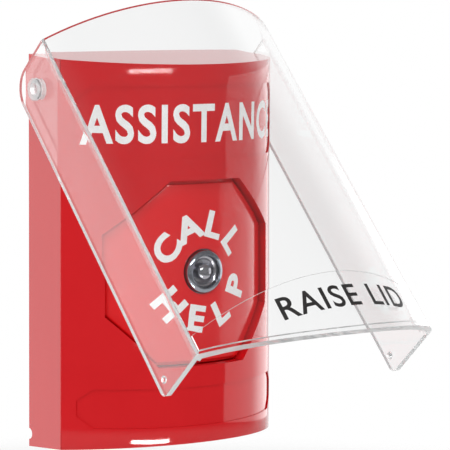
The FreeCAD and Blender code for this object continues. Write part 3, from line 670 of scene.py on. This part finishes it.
# %% The raised face of the button
face_recess = 2.3 * MM
face_edge = 0.5 * MM
face_overlap = 0.3 * MM
face_top_flat = 12.5 * MM
face_low_flat = 14.8 * MM
face_shoulder = 12.1 * MM
lock_opening = 6.95 * MM
lock_opening_steps = 64
face_strip = 1.5 * MM
flange_width = 0.95 * MM
flange_thickness = 0.35 * MM
button_low, button_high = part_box("push_button")
face_half = button_high.x
face_top = button_high.z - lock_centre.z
cap_radius = bow_axis_y - button_low.y
face_radius = bow_radius - face_recess


def ring_of_points(radius, steps):
    """Corners of a circle about the origin."""
    turns = [2 * math.pi * number / steps for number in range(steps)]
    return [(radius * math.cos(turn), radius * math.sin(turn)) for turn in turns]


def plate_with_hole(corners, hole_radius, thickness, edge):
    """Flat plate with rounded edges and a round hole at the origin, as a bmesh."""
    curve = bpy.data.curves.new("plate", "CURVE")
    curve.dimensions = "2D"
    curve.fill_mode = "BOTH"
    curve.extrude = thickness / 2 - edge
    curve.bevel_depth = edge
    curve.bevel_resolution = 2
    curve.offset = -edge
    for outline in (corners, ring_of_points(hole_radius, lock_opening_steps)):
        spline = curve.splines.new("POLY")
        spline.points.add(len(outline) - 1)
        spline.use_cyclic_u = True
        for point, (x, y) in zip(spline.points, outline):
            point.co = (x, y, 0, 1)
    shape = mesh_of_curve(curve)
    bmesh.ops.remove_doubles(shape, verts=shape.verts, dist=0.001 * MM)
    return shape


def face_corners(grown):
    """Outline of the face, or the same outline moved outward, which lengthens each side a little."""
    wide = face_half + grown
    tall = face_top + grown
    shoulder = face_shoulder + grown * 0.45
    top_flat = face_top_flat + grown * 0.38
    low_flat = face_low_flat + grown * 0.42
    return [(wide, -shoulder), (wide, shoulder), (top_flat, tall), (-top_flat, tall),
            (-wide, shoulder), (-wide, -shoulder), (-low_flat, -tall), (low_flat, -tall)]


def bowed_plate(name, corners, front_radius, back_radius, edge):
    """Plate round the key switch, bent to the bow between two radii."""
    thickness = front_radius - back_radius
    plate = plate_with_hole(corners, lock_opening, thickness, edge)
    cut_into_strips(plate, face_strip)
    for corner in plate.verts:
        lift = corner.co.z - thickness / 2
        reach_out = math.sqrt(front_radius ** 2 - corner.co.x ** 2) + lift
        corner.co = (lock_centre.x + corner.co.x, bow_axis_y - reach_out, lock_centre.z + corner.co.y)
    settle(name, plate, "button", red_button)


bowed_plate("button_face", face_corners(0.0), face_radius, cap_radius - face_overlap, face_edge)
bowed_plate("button_flange", face_corners(flange_width), cap_radius + flange_thickness,
            cap_radius - face_overlap, flange_thickness / 4)

# %% [markdown]
# ## The front of the key switch
#
# The key switch ends in a turned chrome collar with a bevelled rim, and inside it the plug
# shows a ring-shaped keyway round a domed post. Every one of these is round, so a lathe is the
# natural tool: half of the outline is drawn beside the axis and spun round it. Each point of an
# outline is a radius and a depth in front of the wall. The collar rides with the button, while
# the plug turns with the key.

# %% The front of the key switch
lathe_steps = 72


def turned(name, outline, body, material):
    """Solid of revolution about the lock's axis, from (radius, depth) points in millimetres."""
    shape = bmesh.new()
    corners = [shape.verts.new((lock_centre.x + radius * MM, -depth * MM, lock_centre.z))
               for radius, depth in outline]
    pairs = list(zip(corners, corners[1:]))
    if outline[0][0] > 0:
        pairs.append((corners[-1], corners[0]))
    edges = [shape.edges.new(pair) for pair in pairs]
    bmesh.ops.spin(shape, geom=corners + edges, cent=lock_centre, axis=(0, 1, 0),
                   angle=2 * math.pi, steps=lathe_steps, use_merge=True)
    bmesh.ops.remove_doubles(shape, verts=shape.verts, dist=0.0001 * MM)
    settle(name, shape, body, material, crease=32)


collar_outline = [
    (4.9, 35.7), (6.6, 35.7), (6.6, 37.6), (6.5, 37.85), (6.3, 38.0), (5.85, 38.2), (5.45, 38.33),
    (5.25, 38.36), (5.1, 38.3), (5.02, 38.15), (4.9, 37.5),
]
plug_outline = [
    (0.0, 34.2), (4.8, 34.2), (4.8, 37.2), (4.65, 37.3), (4.3, 37.15), (4.0, 36.9), (3.85, 36.7),
    (3.85, 34.5), (2.6, 34.5), (2.6, 37.4), (2.5, 37.75), (2.2, 38.05), (1.7, 38.3), (1.0, 38.46),
    (0.5, 38.52), (0.0, 38.54),
]
turned("lock_collar", collar_outline, "button", chrome)
turned("lock_plug_front", plug_outline, "lock_core", lock_steel)

# %% [markdown]
# ## Letters as thin ink
#
# Printed words are real ink, about a twentieth of a millimetre thick, so they can be made as
# very thin solids. A text object gives the outlines. It is turned into a mesh, scaled to the
# printed height and width, cut into strips and bent onto its surface. A picture of the words
# would blur up close and need a file.

# %% Letters as thin ink
ink_thickness = 0.06 * MM
strip_width = 0.8 * MM


def flat_letters(words, height, width=None, boldness=0.0, spread=1.0):
    """Ink solid of some words, centred on x = 0 and standing on y = 0, as a bmesh."""
    curve = bpy.data.curves.new("words", "FONT")
    curve.body = words
    curve.offset = boldness
    curve.space_character = spread
    curve.extrude = 0.5
    curve.resolution_u = 5
    shape = mesh_of_curve(curve)
    low = Vector(min(corner.co[axis] for corner in shape.verts) for axis in range(3))
    high = Vector(max(corner.co[axis] for corner in shape.verts) for axis in range(3))
    tall = height / (high.y - low.y)
    wide = width / (high.x - low.x) if width else tall
    for corner in shape.verts:
        corner.co.x = (corner.co.x - (low.x + high.x) / 2) * wide
        corner.co.y = (corner.co.y - low.y) * tall
        corner.co.z *= ink_thickness
    return shape


def lay_print(name, shape, surface, body, material):
    """Bends a flat ink solid onto a surface(x, y, lift) and lets it ride on a body."""
    cut_into_strips(shape, strip_width)
    for corner in shape.verts:
        corner.co = surface(corner.co.x, corner.co.y, corner.co.z)
    settle(name, shape, body, material)


# %% [markdown]
# ## Words on the upper panel
#
# The panel is sunk a little below the bowed front and keeps the same axis. Walking along the
# word by arc length, and not by x, keeps the letters equally wide all the way round the bow,
# as a printing pad that rolls over the surface does.

# %% Words on the upper panel
panel_sink = 0.45 * MM
panel_words = "ASSISTANCE"
panel_letter_height = 11.9 * MM
panel_letter_base = 34.1 * MM
panel_word_length = 80.0 * MM


def on_panel(x, y, lift):
    radius = bow_radius - panel_sink
    angle = x / radius
    reach_out = radius + lift
    return Vector((reach_out * math.sin(angle), bow_axis_y - reach_out * math.cos(angle),
                   panel_letter_base + y))


panel_print = flat_letters(panel_words, panel_letter_height, panel_word_length, boldness=0.025, spread=1.14)
lay_print("panel_words", panel_print, on_panel, "station", white_ink)

# %% [markdown]
# ## Words round the key switch
#
# The button carries two short words that run round the lock, one over it and one under it.
# Each letter stays straight and only turns with its place on the ring, as type does when it
# is set on a curve. The letters are then pressed back onto the bowed button. A word is given
# with the angle of its middle, the angle from letter to letter and the way its feet point.

# %% Words round the key switch
ring_words = (("CALL", -3.0, 37.5, 1), ("HELP", 170.6, 39.8, -1))
ring_letter_height = 8.3 * MM
ring_inner_radius = 10.5 * MM
ring_letter_stretch = 1.14
ring_letter_boldness = 0.042


def on_button(x, y, lift):
    reach_out = math.sqrt(face_radius ** 2 - x ** 2)
    return Vector((lock_centre.x + x, bow_axis_y - reach_out - lift, lock_centre.z + y))


def ring_letter(letter, angle, way):
    """One straight letter on the ring: angle from the top, way 1 feet inward and -1 feet outward."""
    shape = flat_letters(letter, ring_letter_height, boldness=ring_letter_boldness)
    turn = math.radians(angle)
    base = ring_inner_radius if way == 1 else ring_inner_radius + ring_letter_height
    for corner in shape.verts:
        along = corner.co.x * ring_letter_stretch
        out = base + way * corner.co.y
        corner.co.x = out * math.sin(turn) + way * along * math.cos(turn)
        corner.co.y = out * math.cos(turn) - way * along * math.sin(turn)
    return shape


for word, middle, step, way in ring_words:
    for number, letter in enumerate(word):
        angle = middle + way * (number - (len(word) - 1) / 2) * step
        name = f"ring_letter_{word}_{number + 1}"
        lay_print(name, ring_letter(letter, angle, way), on_button, "button", white_ink)

# %% [markdown]
# ## Words on the cover's chin
#
# The front wall of the cover runs a little lower than its sides and ends in a curved chin,
# which is where a finger lifts it. The black instruction is printed just above. The print is
# laid as if the cover hung straight down and is then turned about its pins by the angle at
# which the cover stands open, which is simpler than drawing on the tilted wall.

# %% Words on the cover's chin
cover_bow = 20.9 * MM
cover_radius = (cover_half ** 2 + cover_bow ** 2) / (2 * cover_bow)
cover_axis = cover_front + cover_bow - cover_radius
chin_words = "RAISE LID"
chin_letter_height = 7.6 * MM
chin_letter_base = -112.0 * MM
chin_word_length = 46.0 * MM


def on_chin(x, y, lift):
    angle = x / cover_radius
    reach_out = cover_radius + lift
    forward = cover_axis + reach_out * math.cos(angle)
    up = chin_letter_base + y
    depth = forward * math.cos(open_angle) - up * math.sin(open_angle)
    rise = forward * math.sin(open_angle) + up * math.cos(open_angle)
    return Vector((reach_out * math.sin(angle), pivot.y - depth, pivot.z + rise))


chin_print = flat_letters(chin_words, chin_letter_height, chin_word_length, boldness=0.012, spread=1.1)
lay_print("chin_words", chin_print, on_chin, "cover", black_ink)

# %% [markdown]
# ## Sizes kept
#
# The dressed object must stay inside the box of the construction model, because the button's
# face, the print and the finishes add no size.

# %% Sizes kept
print("dressed object ready")
